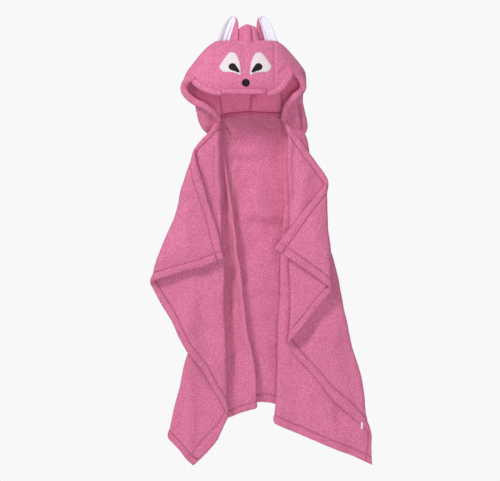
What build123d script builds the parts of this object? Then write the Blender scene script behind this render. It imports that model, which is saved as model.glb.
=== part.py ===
"""A hooded baby towel with a fox face on the hood, hung up by the loop behind its crown.

The towel is one terry rectangle, sewn at the neck to a hood with two ears and a face.
Hanging from the hood, its two front corners fold forward and its sides fall in pleats.
Everything is in millimetres. +Z is up, the face looks along -Y, and the origin is the
point of the hanging loop that bears on the hook.
"""

import os

from build123d import *

os.makedirs("parts", exist_ok=True)

# ---- cloth and trims
cloth = 5.0  # terry with its pile, as one ply
gap = 1.0  # room between bodies that move
hem_width = 20.0
hem_thick = 7.0  # two plies of terry pressed flat

# ---- the towel rectangle these folds come from
towel_width = 980.0
towel_length = 740.0

# ---- how far each ply of the folded towel stands in front of the back one
depth_centre = 0.0
depth_pleat = 7.0
depth_left = {"inner": 14.0, "rear": 26.0, "flap": 42.0, "corner": 58.0}
depth_right = {"inner": 12.0, "middle": 24.0, "rear": 37.0, "flap": 53.0, "corner": 69.0}

# ---- hood: a bell, wide at the face and narrow at the neck
#      height, middle across, half width, middle front to back, half depth
bell_sections = [
    (-32.0, -3.0, 78.0, -44.0, 13.0),
    (-60.0, -4.0, 106.0, -48.0, 34.0),
    (-100.0, -4.0, 136.0, -54.0, 47.0),
    (-150.0, -8.0, 152.0, -58.0, 54.0),
    (-182.0, 2.0, 134.0, -50.0, 46.0),
    (-209.0, 8.0, 132.0, -32.0, 22.0),
]
side_plane = -52.0  # where the front of the hood ends and its back begins
seam_left = -76.0  # the seams between the face panel and the side panels
seam_right = 66.0
applique = 2.0  # thickness of one layer of sewn-on felt or fleece
nose_radius = 10.5
nose_at = (-4.5, -137.0)

# ---- ears
ear_axis_height = -23.5
ear_roll = 7.0
ear_depth = -44.0
ear_thick = 12.0
ear_tip_height = 31.0
ear_inner_at = 24.5  # edge next to the crown
ear_outer_at = 76.0
ear_tip_at = 37.0

# ---- neck: the seam the towel swings on
neck_height = -218.0
neck_depth = -29.0
neck_radius = 6.0
neck_left = -66.0
neck_right = 85.0

# ---- fold lines and corners of the folded towel, seen from the front (across, up)
left_fold = [(-64.0, -345.0), (-64.0, -735.0), (-46.0, -970.0)]
left_turn = [(-135.0, -305.0), (-155.0, -385.0), (-195.0, -495.0), (-246.0, -640.0)]
left_shoulder = [(-123.0, -229.0), (-120.0, -243.0), (-106.0, -260.0), (-84.0, -268.0), (-68.0, -300.0)]
left_low = (-206.0, -1028.0)
left_corner = (-135.0, -1098.0)
pleat_edge = [(-54.0, -305.0), (-34.0, -423.0), (-19.0, -530.0), (9.0, -730.0), (29.0, -955.0)]
pleat_back = (-36.0, -948.0)
right_fold = [(88.0, -300.0), (99.0, -363.0), (101.0, -788.0)]
right_turn = [(201.0, -380.0), (207.0, -468.0), (211.0, -555.0), (214.0, -658.0)]
right_side = [(147.0, -229.0), (159.0, -315.0), (214.0, -588.0), (251.0, -755.0), (291.0, -905.0), (318.0, -1020.0)]
right_corner = (318.0, -1098.0)
right_inner = [(97.0, -455.0), (84.0, -600.0), (76.0, -755.0), (61.0, -993.0)]
right_hidden = (151.0, -965.0)


def face_of(outline, depth):
    """A flat face with this outline, facing front, at this depth."""
    with BuildSketch(Plane.XZ.offset(depth)) as drawn:
        with BuildLine():
            Polyline(*outline, close=True)
        make_face()
    return drawn.sketch


def ply(outline, depth, thick=cloth):
    """Adds one flat ply of cloth to the part being built."""
    extrude(face_of(outline, depth), amount=thick)


def turn(start, end, side, depth_a, depth_b, thick=cloth):
    """Adds the turned edge that joins two plies along a fold line."""
    (x0, z0), (x1, z1) = start, end
    band = [(x0, z0), (x1, z1), (x1 + side * cloth, z1), (x0 + side * cloth, z0)]
    extrude(face_of(band, depth_a), amount=depth_b - depth_a + thick)


def turns(line, side, depth_a, depth_b, thick=cloth):
    for start, end in zip(line, line[1:]):
        turn(start, end, side, depth_a, depth_b, thick)


def bell(grow):
    """The closed bell shape of the hood, grown or shrunk by this much."""
    with BuildPart() as solid:
        for height, across, half_width, deep, half_depth in bell_sections:
            ends = bell_sections[0][0], bell_sections[-1][0]
            shift = grow * (height == ends[0])
            with BuildSketch(Plane.XY.offset(height + shift)):
                with Locations((across, deep)):
                    Ellipse(half_width + grow, half_depth + grow)
        loft()
    return solid.part


def column(outline, front, back):
    """A block with this outline seen from the front, between two distances front to back."""
    with BuildPart() as block:
        with BuildSketch(Plane.XZ.offset(-back)):
            with BuildLine():
                Polyline(*outline, close=True)
            make_face()
        extrude(amount=back - front)
    return block.part


def box_face(x0, x1, z0, z1):
    return [(x0, z0), (x1, z0), (x1, z1), (x0, z1)]


# ---- the hood's cloth, before it is cut into panels
bell_outer = bell(0.0)
bell_inner = bell(-cloth)
bell_felt = bell(applique)
bell_eye = bell(2.0 * applique)

with BuildPart() as hood_cloth:
    add(bell_outer)
    add(bell_inner, mode=Mode.SUBTRACT)

# the edge of the hood's mouth, higher at the two sides
rim = [
    (-175.0, -128.0),
    (-126.0, -134.0),
    (-99.0, -150.0),
    (-72.0, -161.0),
    (51.0, -163.0),
    (66.0, -158.0),
    (80.0, -142.0),
    (93.0, -121.0),
    (110.0, -116.0),
    (130.0, -128.0),
    (175.0, -138.0),
]
below_rim = rim + [(175.0, -260.0), (-175.0, -260.0)]
rim_top = [(x, z + hem_width) for x, z in rim]
hem_zone = rim + rim_top[::-1]

# the mouth is open from the rim down to the neck, in front of the hood's middle
with BuildPart() as mouth_room:
    with BuildSketch(Plane.YZ.offset(-200.0)):
        with BuildLine():
            Polyline(
                (-140.0, -60.0),
                (side_plane, -60.0),
                (side_plane, -160.0),
                (-48.0, -184.0),
                (-32.0, -212.0),
                (-140.0, -212.0),
                close=True,
            )
        make_face()
    extrude(amount=400.0)
    add(column(below_rim, -140.0, -20.0), mode=Mode.INTERSECT)
mouth = mouth_room.part
front_room = column(box_face(-200.0, 200.0, -260.0, 0.0), -140.0, side_plane)
back_room = column(box_face(-200.0, 200.0, -260.0, 0.0), side_plane, 20.0)
hem_room = column(hem_zone, -140.0, side_plane)
middle_room = column(box_face(seam_left, seam_right, -260.0, 0.0), -140.0, 20.0)
left_room = column(box_face(-200.0, seam_left, -260.0, 0.0), -140.0, 20.0)
right_room = column(box_face(seam_right, 200.0, -260.0, 0.0), -140.0, 20.0)

# ---- hood: the face panel, across the front between the two seams
with BuildPart() as hood_face:
    add(hood_cloth.part)
    add(middle_room, mode=Mode.INTERSECT)
    add(front_room, mode=Mode.INTERSECT)
    add(mouth, mode=Mode.SUBTRACT)
    add(hem_room, mode=Mode.SUBTRACT)
hood_face.part.label = "hood_face"

# ---- hood: the side panels, each from the face round to the back
with BuildPart() as hood_side_left:
    add(hood_cloth.part)
    add(left_room, mode=Mode.INTERSECT)
    add(mouth, mode=Mode.SUBTRACT)
    add(hem_room, mode=Mode.SUBTRACT)
hood_side_left.part.label = "hood_side_left"

with BuildPart() as hood_side_right:
    add(hood_cloth.part)
    add(right_room, mode=Mode.INTERSECT)
    add(mouth, mode=Mode.SUBTRACT)
    add(hem_room, mode=Mode.SUBTRACT)
hood_side_right.part.label = "hood_side_right"

# ---- hood: the back panel, sewn to the towel at the neck
with BuildPart() as hood_back:
    add(hood_cloth.part)
    add(middle_room, mode=Mode.INTERSECT)
    add(back_room, mode=Mode.INTERSECT)
    add(mouth, mode=Mode.SUBTRACT)
hood_back.part.label = "hood_back"

# ---- hood: the turned hem along the front of its mouth
with BuildPart() as hood_hem:
    add(hood_cloth.part)
    add(hem_room, mode=Mode.INTERSECT)
hood_hem.part.label = "hood_hem"

# ---- hood: its top, gathered into a lobe between the ears
with BuildPart() as hood_crown:
    for height, half_width, half_depth in [(-31.9, 23.0, 17.0), (-12.0, 22.0, 16.0), (8.0, 16.0, 9.0)]:
        with BuildSketch(Plane.XY.offset(height)):
            with Locations((0.0, ear_depth)):
                Ellipse(half_width, half_depth)
    loft()
    fillet(hood_crown.edges().group_by(Axis.Z)[-1], radius=3.0)
hood_crown.part.label = "hood_crown"

# ---- neck: the bound seam between hood and towel
with BuildPart() as neck_tape:
    with BuildSketch(Plane.YZ.offset(neck_left)):
        with Locations((neck_depth, neck_height)):
            Circle(neck_radius)
        with BuildLine():
            Polyline(
                (neck_depth - 3.0, neck_height + 2.0),
                (neck_depth + 3.0, neck_height + 2.0),
                (-16.0, -209.0),
                (-40.0, -209.0),
                close=True,
            )
        make_face()
    extrude(amount=neck_right - neck_left)
neck_tape.part.label = "neck_tape"

# ---- face: a pale patch round each eye, the eye itself, and the nose
patch_shape = [
    (-71.0, -98.0),
    (-61.0, -80.0),
    (-47.0, -62.0),
    (-33.0, -62.0),
    (-22.0, -76.0),
    (-17.0, -98.0),
    (-16.0, -118.0),
    (-33.0, -114.0),
    (-58.0, -111.0),
]
eye_shape = [
    (-46.0, -95.0),
    (-40.0, -90.0),
    (-30.0, -93.0),
    (-20.0, -106.0),
    (-21.0, -111.0),
    (-34.0, -107.0),
    (-46.0, -101.0),
]
face_middle = -5.0  # the face is a little left of the loop


def mirrored(outline):
    return [(2.0 * face_middle - x, z) for x, z in outline][::-1]


with BuildPart() as patch_left:
    add(bell_felt)
    add(bell_outer, mode=Mode.SUBTRACT)
    add(column(patch_shape, -140.0, side_plane), mode=Mode.INTERSECT)
patch_left.part.label = "patch_left"

with BuildPart() as patch_right:
    add(bell_felt)
    add(bell_outer, mode=Mode.SUBTRACT)
    add(column(mirrored(patch_shape), -140.0, side_plane), mode=Mode.INTERSECT)
patch_right.part.label = "patch_right"

with BuildPart() as eye_left:
    add(bell_eye)
    add(bell_felt, mode=Mode.SUBTRACT)
    add(column(eye_shape, -140.0, side_plane), mode=Mode.INTERSECT)
eye_left.part.label = "eye_left"

with BuildPart() as eye_right:
    add(bell_eye)
    add(bell_felt, mode=Mode.SUBTRACT)
    add(column(mirrored(eye_shape), -140.0, side_plane), mode=Mode.INTERSECT)
eye_right.part.label = "eye_right"

with BuildPart() as nose_post:
    with BuildSketch(Plane.XZ.offset(60.0)):
        with Locations(nose_at):
            Circle(nose_radius)
    extrude(amount=80.0)

with BuildPart() as nose:
    add(bell_felt)
    add(bell_outer, mode=Mode.SUBTRACT)
    add(nose_post.part, mode=Mode.INTERSECT)
nose.part.label = "nose"

# ---- the loop of tape behind the crown that the whole towel hangs by
loop_width = 10.0
loop_inner = 13.0
loop_tape = 2.0
loop_foot = -62.0

with BuildPart() as hanging_loop:
    with BuildSketch(Plane.XZ.offset(6.0)):
        with Locations((0.0, -loop_inner)):
            Circle(loop_inner + loop_tape)
            Circle(loop_inner, mode=Mode.SUBTRACT)
            Rectangle(60.0, 60.0, align=(Align.CENTER, Align.MAX), mode=Mode.SUBTRACT)
        for side in (-1.0, 1.0):
            with Locations((side * (loop_inner + loop_tape / 2.0), (loop_foot - loop_inner) / 2.0)):
                Rectangle(loop_tape, -loop_foot - loop_inner)
    extrude(amount=loop_width)
    add(bell_outer, mode=Mode.SUBTRACT)
hanging_loop.part.label = "hanging_loop"


# ---- ears: a white lining in front, pink terry behind, swinging on a rolled base seam
def ear_outline(side, inset):
    """Seen from the front: an upright inner edge, a rounded tip, and a long curved outer edge."""
    return [
        (side * (ear_inner_at + inset), ear_axis_height),
        (side * (ear_outer_at - inset), ear_axis_height),
        (side * (68.0 - inset), 0.0),
        (side * (60.0 - inset), 12.0),
        (side * (ear_tip_at + 11.0 - inset), ear_tip_height - 7.0 - inset / 2.0),
        (side * (ear_tip_at + 3.0), ear_tip_height - inset),
        (side * (ear_tip_at - 4.0), ear_tip_height - inset),
        (side * (ear_inner_at + 2.0 + inset / 2.0), ear_tip_height - 11.0 - inset),
    ]


def ear_back(side):
    """The pink back of an ear, with the rolled seam it swings on."""
    half = ear_thick / 2.0
    extrude(face_of(ear_outline(side, 0.0), -ear_depth - half), amount=half)
    low, high = sorted((side * ear_inner_at, side * ear_outer_at))
    with BuildSketch(Plane.YZ.offset(low)) as roll:
        with Locations((ear_depth, ear_axis_height)):
            Circle(ear_roll)
    extrude(roll.sketch, amount=high - low)


def ear_front(side):
    """The white lining, inside the pink edge, standing clear of the rolled seam."""
    half = ear_thick / 2.0
    outline = ear_outline(side, 3.0)
    lifted = [(x, max(z, ear_axis_height + ear_roll)) for x, z in outline]
    extrude(face_of(lifted, -ear_depth), amount=half)


with BuildPart() as ear_left_back:
    ear_back(-1.0)
ear_left_back.part.label = "ear_left_back"

with BuildPart() as ear_left_lining:
    ear_front(-1.0)
ear_left_lining.part.label = "ear_left_lining"

with BuildPart() as ear_right_back:
    ear_back(1.0)
ear_right_back.part.label = "ear_right_back"

with BuildPart() as ear_right_lining:
    ear_front(1.0)
ear_right_lining.part.label = "ear_right_lining"


# ---- hems: the turned and stitched edges of the towel
def hem_line(line, inward, depth):
    """Adds a hem along an edge of a ply; inward is the way the band is turned."""
    dx, dz = inward
    for (x0, z0), (x1, z1) in zip(line, line[1:]):
        band = [(x0, z0), (x1, z1), (x1 + dx, z1 + dz), (x0 + dx, z0 + dz)]
        extrude(face_of(band, depth), amount=hem_thick)


left_top_edge = [(-72.0, -245.0), (-110.0, -275.0), left_turn[0]]
left_front_edge = [left_turn[0], (-97.0, -435.0), (-55.0, -575.0)]
left_front_low = [(-55.0, -575.0), (-150.0, -610.0), left_turn[-1]]
left_flap_low = [left_turn[-1], (-205.0, -708.0), (-150.0, -801.0), (-106.0, -890.0), left_fold[-1]]
left_side_edge = [left_fold[-1], (-60.0, -1010.0), (-91.0, -1063.0), left_corner]
left_low_edge = [left_corner, (-184.0, -1055.0), left_low]
inner_low_edge = [left_low, (-44.0, -973.0), pleat_edge[-1]]
centre_low_edge = [pleat_back, (36.0, -942.0), right_hidden]
right_inner_low = [right_hidden, right_inner[-1]]
right_low_edge = [right_inner[-1], (131.0, -1024.0), (231.0, -1066.0), right_corner]
right_side_edge = [right_fold[-1], (144.0, -853.0), (226.0, -945.0), right_side[-1]]
right_top_edge = [(88.0, -245.0), (144.0, -295.0), right_turn[0]]
right_front_edge = [right_turn[0], (131.0, -460.0), (66.0, -550.0)]
right_front_low = [(66.0, -550.0), (131.0, -595.0), right_turn[-1]]
right_flap_low = [right_turn[-1], (144.0, -735.0), right_fold[-1]]

with BuildPart() as left_flap_top_hem:
    hem_line(left_top_edge, (8.0, -18.0), depth_left["flap"])
    hem_line(left_front_edge, (-20.0, -2.0), depth_left["corner"])
    turn(left_turn[0], (-141.0, -329.0), 2.0, depth_left["flap"], depth_left["corner"])
left_flap_top_hem.part.label = "left_flap_top_hem"

with BuildPart() as left_flap_side_hem:
    hem_line([(-84.0, -585.0), *left_front_low[1:]], (4.0, 20.0), depth_left["corner"])
    hem_line(left_flap_low, (14.0, 15.0), depth_left["flap"])
    turn((-238.0, -619.0), left_turn[-1], 1.0, depth_left["flap"], depth_left["corner"])
    add(left_flap_top_hem.part, mode=Mode.SUBTRACT)
left_flap_side_hem.part.label = "left_flap_side_hem"

with BuildPart() as right_flap_top_hem:
    hem_line(right_top_edge, (-2.0, -20.0), depth_right["flap"])
    hem_line(right_front_edge, (0.0, -22.0), depth_right["corner"])
    turn(right_turn[0], (202.0, -404.0), -1.0, depth_right["flap"], depth_right["corner"])
right_flap_top_hem.part.label = "right_flap_top_hem"

with BuildPart() as right_flap_side_hem:
    hem_line([(90.0, -567.0), *right_front_low[1:]], (0.0, 22.0), depth_right["corner"])
    hem_line(right_flap_low, (-2.0, 24.0), depth_right["flap"])
    turn((213.0, -636.0), right_turn[-1], -1.0, depth_right["flap"], depth_right["corner"])
    add(right_flap_top_hem.part, mode=Mode.SUBTRACT)
right_flap_side_hem.part.label = "right_flap_side_hem"

with BuildPart() as back_left_side_hem:
    hem_line(left_side_edge, (-18.0, 8.0), depth_left["rear"])
back_left_side_hem.part.label = "back_left_side_hem"

with BuildPart() as back_right_side_hem:
    hem_line(right_side_edge, (4.0, 22.0), depth_right["rear"])
back_right_side_hem.part.label = "back_right_side_hem"

# the bottom hem runs in one piece through every fold of the back
with BuildPart() as bottom_hem:
    hem_line(left_low_edge, (4.0, 22.0), depth_left["rear"])
    turn(left_low, (-201.0, -1008.0), 1.0, depth_left["inner"], depth_left["rear"], hem_thick)
    hem_line(inner_low_edge, (0.0, 20.0), depth_left["inner"])
    turn((27.0, -935.0), pleat_edge[-1], -1.0, depth_pleat, depth_left["inner"])
    ply([(29.0, -955.0), (27.0, -935.0), (-36.0, -928.0), pleat_back], depth_pleat)
    turn((-36.0, -928.0), pleat_back, 1.0, depth_centre, depth_pleat)
    ply([pleat_back, (36.0, -942.0), right_hidden, (147.0, -945.0), (36.0, -922.0), (-36.0, -928.0)], depth_centre)
    turn((147.0, -945.0), right_hidden, -1.0, depth_centre, depth_right["inner"])
    ply([right_hidden, right_inner[-1], (62.0, -973.0), (147.0, -945.0)], depth_right["inner"])
    turn((62.0, -973.0), right_inner[-1], 1.0, depth_right["inner"], depth_right["middle"])
    hem_line(right_low_edge, (0.0, 20.0), depth_right["middle"])
    add(back_left_side_hem.part, mode=Mode.SUBTRACT)
bottom_hem.part.label = "bottom_hem"

# ---- the towel: its back, with every ply behind the two front flaps
top_of_back = -270.0
left_inner = depth_left["inner"]

with BuildPart() as towel_back:
    # the slope from the neck seam back to the hanging ply
    with BuildSketch(Plane.YZ.offset(neck_left + 4.0)):
        with BuildLine():
            Polyline(
                (0.0, top_of_back),
                (-cloth, top_of_back),
                (neck_depth - 3.0, neck_height - neck_radius - gap),
                (neck_depth + 3.0, neck_height - neck_radius - gap),
                close=True,
            )
        make_face()
    extrude(amount=neck_right - neck_left - 8.0)
    # the centre, behind the pleat
    top_centre = [(neck_left + 4.0, top_of_back), (neck_right - 4.0, top_of_back)]
    ply([top_centre[0], pleat_edge[0], *centre_low_edge, (92.0, -330.0), top_centre[1]], depth_centre)
    # the pleat: a middle ply, and the inner left ply in front of it
    ply([*pleat_edge, pleat_back], depth_pleat)
    turn(pleat_edge[0], pleat_back, 1.0, depth_centre, depth_pleat)
    ply([(-66.0, -229.0), *left_shoulder, (-64.0, -445.0), *inner_low_edge, *pleat_edge[3::-1]], left_inner)
    turns(pleat_edge, -1.0, depth_pleat, left_inner)
    # the rear left ply, falling to the lowest left corner
    ply([(-64.0, -445.0), *left_fold[1:], *left_side_edge[1:], *left_low_edge[1:]], depth_left["rear"])
    turn((-64.0, -445.0), left_low, 1.0, left_inner, depth_left["rear"])
    # the right side: plies folded left and right in turn
    inner_right = [(88.0, -300.0), *right_inner]
    ply([*inner_right, right_hidden, (92.0, -330.0)], depth_right["inner"])
    turn((87.0, -330.0), right_hidden, -1.0, depth_centre, depth_right["inner"])
    ply([*inner_right, *right_low_edge[1:], *right_side[::-1], (90.0, -229.0)], depth_right["middle"])
    turns(inner_right, 1.0, depth_right["inner"], depth_right["middle"])
    ply([(88.0, -300.0), *right_fold[1:], *right_side_edge[1:], *right_side[4::-1], (90.0, -229.0)], depth_right["rear"])
    turns(right_side, -1.0, depth_right["middle"], depth_right["rear"])
    for hem in (bottom_hem, back_left_side_hem, back_right_side_hem):
        add(hem.part, mode=Mode.SUBTRACT)
towel_back.part.label = "towel_back"

# ---- the front flaps: each side of the towel folded forward, with its corner folded over it
with BuildPart() as left_flap:
    ply([*left_top_edge, *left_turn[1:], *left_flap_low[1:], *left_fold[1::-1]], depth_left["flap"])
    ply([*left_front_edge, *left_front_low[1:], *left_turn[2:0:-1]], depth_left["corner"])
    turns(left_turn, 1.0, depth_left["flap"], depth_left["corner"])
    for hem in (left_flap_top_hem, left_flap_side_hem):
        add(hem.part, mode=Mode.SUBTRACT)
left_flap.part.label = "left_flap"

with BuildPart() as right_flap:
    ply([*right_top_edge, *right_turn[1:], *right_flap_low[1:], *right_fold[1::-1]], depth_right["flap"])
    ply([*right_front_edge, *right_front_low[1:], *right_turn[2:0:-1]], depth_right["corner"])
    turns(right_turn, -1.0, depth_right["flap"], depth_right["corner"])
    for hem in (right_flap_top_hem, right_flap_side_hem):
        add(hem.part, mode=Mode.SUBTRACT)
right_flap.part.label = "right_flap"

# ---- the care label: a blank tab sewn into the right side hem
label_width = 6.0
label_length = 17.0
label_thick = 0.8
label_top = (286.0, -985.0)

with BuildPart() as care_label:
    with BuildSketch(Plane.XZ.offset(depth_right["rear"] + hem_thick + gap)):
        with Locations(label_top):
            Rectangle(label_width, label_length, align=(Align.CENTER, Align.MAX))
    extrude(amount=label_thick)
care_label.part.label = "care_label"

for solid in (hood_face, hood_side_left, hood_side_right, hood_back, hood_hem, hood_crown, neck_tape):
    export_step(solid.part, "parts/" + solid.part.label + ".step")
for solid in (patch_left, patch_right, eye_left, eye_right, nose, hanging_loop):
    export_step(solid.part, "parts/" + solid.part.label + ".step")
for solid in (ear_left_back, ear_left_lining, ear_right_back, ear_right_lining, towel_back):
    export_step(solid.part, "parts/" + solid.part.label + ".step")
for solid in (left_flap, left_flap_top_hem, left_flap_side_hem):
    export_step(solid.part, "parts/" + solid.part.label + ".step")
for solid in (right_flap, right_flap_top_hem, right_flap_side_hem):
    export_step(solid.part, "parts/" + solid.part.label + ".step")
for solid in (bottom_hem, back_left_side_hem, back_right_side_hem, care_label):
    export_step(solid.part, "parts/" + solid.part.label + ".step")
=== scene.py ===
# %% [markdown]
# A hooded baby towel, hung up by the loop behind its crown.
# The real one is a rectangle of terry cloth, sewn at its top edge to a hood with a face and two ears.
# It could be sculpted by hand, or dropped as simulated cloth. Here each piece is built from numbers,
# so that every fold lands where it belongs and the result is the same on every run.
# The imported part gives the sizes, the bodies and the joints, so it is loaded first and never moved.

import math

import bmesh
import bpy
import numpy as np
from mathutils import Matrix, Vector


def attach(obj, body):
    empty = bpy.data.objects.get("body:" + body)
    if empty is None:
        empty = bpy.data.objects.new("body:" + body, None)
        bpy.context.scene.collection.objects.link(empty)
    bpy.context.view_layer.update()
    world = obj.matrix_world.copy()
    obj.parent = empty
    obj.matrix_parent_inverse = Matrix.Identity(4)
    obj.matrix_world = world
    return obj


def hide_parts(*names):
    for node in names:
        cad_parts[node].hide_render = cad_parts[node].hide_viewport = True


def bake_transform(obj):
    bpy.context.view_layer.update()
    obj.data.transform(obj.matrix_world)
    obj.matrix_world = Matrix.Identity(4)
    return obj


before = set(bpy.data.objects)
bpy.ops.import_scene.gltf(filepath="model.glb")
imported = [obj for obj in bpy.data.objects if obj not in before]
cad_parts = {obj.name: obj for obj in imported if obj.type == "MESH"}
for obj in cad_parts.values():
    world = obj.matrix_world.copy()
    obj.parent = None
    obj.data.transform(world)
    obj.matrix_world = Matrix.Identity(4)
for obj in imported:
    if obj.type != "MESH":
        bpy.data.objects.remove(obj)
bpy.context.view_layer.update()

# %% [markdown]
# Cloth sizes are easier to read in millimetres, and Blender works in metres, so one factor turns them over.
# A soft step rises from 0 to 1 with no corner. It is used wherever the cloth changes little by little.

# %% Millimetres and soft steps
MM = 0.001


def smooth_step(x, a, b):
    t = np.clip((x - a) / (b - a), 0.0, 1.0)
    return t * t * (3.0 - 2.0 * t)


print("half way up a soft step:", float(smooth_step(0.5, 0.0, 1.0)))

# %% [markdown]
# A piece could be drawn point by point in edit mode. Points that come from a formula are easier to change,
# so each mesh is made from lists of points and faces, with a flat layout (its UV map) for the stitching.
# One level of subdivision then rounds the facets, and it is kept in the mesh as real shape.

# %% From points to a rounded piece
def make_object(name, points, faces, uv=None):
    mesh = bpy.data.meshes.new(name)
    mesh.from_pydata([tuple(p) for p in points], [], faces)
    mesh.update()
    if uv is not None:
        layer = mesh.uv_layers.new(name="UVMap")
        corners = np.empty(len(mesh.loops), int)
        mesh.loops.foreach_get("vertex_index", corners)
        layer.data.foreach_set("uv", np.asarray(uv, float)[corners].ravel())
    mesh.polygons.foreach_set("use_smooth", [True] * len(mesh.polygons))
    obj = bpy.data.objects.new(name, mesh)
    bpy.context.scene.collection.objects.link(obj)
    return obj


def round_off(obj):
    mod = obj.modifiers.new("smooth", "SUBSURF")
    mod.levels = 1
    mod.render_levels = 1
    rounded = obj.evaluated_get(bpy.context.evaluated_depsgraph_get())
    shape = bpy.data.meshes.new_from_object(rounded)
    obj.modifiers.clear()
    obj.data = shape
    print(obj.name, "has", len(shape.polygons), "faces")
    return obj


def dress(obj, material):
    """Gives a piece its finish and rounds it off."""
    obj.data.materials.append(material)
    return round_off(obj)


def tube_faces(rows, count):
    """The faces that join rings of points, each ring to the next."""
    faces = []
    for row in range(rows - 1):
        here, there = row * count, (row + 1) * count
        for j in range(count):
            k = (j + 1) % count
            faces.append((here + j, here + k, there + k, there + j))
    return faces


# %% [markdown]
# Real cloth has a thickness. A Solidify modifier could give it, but here the thickness changes towards the
# edges, so the cloth is a grid of mid-points with a front face, a back face and a turned edge between them.

# %% Cloth from a grid of points
def grid_normals(p, wrap=False):
    if wrap:
        du = np.roll(p, -1, 1) - np.roll(p, 1, 1)
    else:
        du = np.gradient(p, axis=1)
    dv = np.gradient(p, axis=0)
    n = np.cross(du, dv)
    return n / np.maximum(np.linalg.norm(n, axis=2, keepdims=True), 1e-9)


def sheet_object(name, centre, thick, uv, wrap=False, keep=None):
    """A closed cloth from a grid of mid-points; keep marks the cells that are cloth."""
    rows, cols = centre.shape[:2]
    normal = grid_normals(centre, wrap)
    half = np.broadcast_to(np.asarray(thick) / 2.0, (rows, cols))[..., None]
    two_sides = (centre - normal * half, centre + normal * half)
    points = np.concatenate([side.reshape(-1, 3) for side in two_sides])
    last = cols if wrap else cols - 1
    if keep is None:
        keep = np.ones((rows - 1, last), bool)
    shift = rows * cols
    index = np.arange(shift).reshape(rows, cols)
    faces = []
    edges = {}
    for j in range(rows - 1):
        for i in range(last):
            if not keep[j, i]:
                continue
            k = (i + 1) % cols
            a, b, c, d = index[j, i], index[j, k], index[j + 1, k], index[j + 1, i]
            faces.append((a, d, c, b))
            faces.append((a + shift, b + shift, c + shift, d + shift))
            for e in ((a, b), (b, c), (c, d), (d, a)):
                edges[e] = True
    for (a, b) in list(edges):
        if (b, a) not in edges:
            faces.append((a, b, b + shift, a + shift))
    flat = np.asarray(uv).reshape(-1, 2)
    obj = make_object(name, points, faces, np.concatenate([flat, flat]))
    used = np.zeros(len(points), bool)
    used[[i for f in faces for i in f]] = True
    if not used.all():
        edit = bmesh.new()
        edit.from_mesh(obj.data)
        edit.verts.ensure_lookup_table()
        unused = [edit.verts[int(i)] for i in np.flatnonzero(~used)]
        bmesh.ops.delete(edit, geom=unused, context="VERTS")
        edit.to_mesh(obj.data)
        edit.free()
    return obj


print("cloth tools:", grid_normals.__name__, sheet_object.__name__)

# %% [markdown]
# The towel is cut as a flat rectangle, 980 by 740 mm.
# Hung from the neck, its side edges fall inward and the cloth doubles over itself.
# Each fold is a straight line across the flat rectangle, and between the folds the cloth is nearly flat.
# So the fold lines are marked by their ends: where each lies on the flat cloth, and where it hangs.

# %% Marks on the flat cloth
width, length = 980.0, 740.0
# name: (flat across, flat down), (across, up) as it hangs, in mm
marks = {
    "neck_l": ((-82, 0), (-69, -224)),
    "neck_a": ((-50, 0), (-50, -213)),
    "neck_b": ((50, 0), (60, -211)),
    "turn_l": ((-200, 0), (-135, -305)),
    "corner_l": ((-490, 0), (-56, -575)),
    "side1_l": ((-490, 200), (-246, -639)),
    "side2_l": ((-490, 585), (-46, -970)),
    "side3_l": ((-490, 672), (-73, -1038)),
    "low_l": ((-490, 740), (-135, -1098)),
    "bottom_l": ((-385, 740), (-206, -1028)),
    "split_l": ((-205, 177), (-64, -443)),
    "pleat_top": ((-110, 80), (-54, -305)),
    "pleat_low": ((-139, 740), (29, -955)),
    "pleat_in": ((-74, 740), (-36, -948)),
    "neck_c": ((0, 0), (8, -208)),
    "bottom_c": ((0, 740), (36, -940)),
    "neck_r": ((82, 0), (88, -226)),
    "shoulder_r": ((109, 44), (147, -236)),
    "turn_r": ((272, 0), (201, -380)),
    "corner_r": ((490, 0), (66, -550)),
    "side1_r": ((490, 182), (214, -658)),
    "side2_r": ((490, 355), (101, -788)),
    "side3_r": ((490, 512), (204, -922)),
    "side4_r": ((490, 670), (316, -1018)),
    "low_r": ((490, 740), (316, -1096)),
    "out_r": ((142, 97), (159, -315)),
    "inner_r": ((215, 740), (61, -993)),
    "hidden_r": ((120, 740), (151, -965)),
}
print("marks on the cloth:", len(marks))

# %% [markdown]
# The folds leave plies, one behind another. Each ply is made of triangles between marks,
# and each hangs at its own distance from the wall, so that no ply passes through the next.

# %% The plies between the folds
ply_depth = {
    "centre": 2, "pleat": 8, "inner_r": 14, "inner_l": 15,
    "rear_l": 25, "middle_r": 26, "rear_r": 38, "flap_l": 47,
    "flap_r": 60, "corner_l": 62, "corner_r": 74,
}
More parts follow.
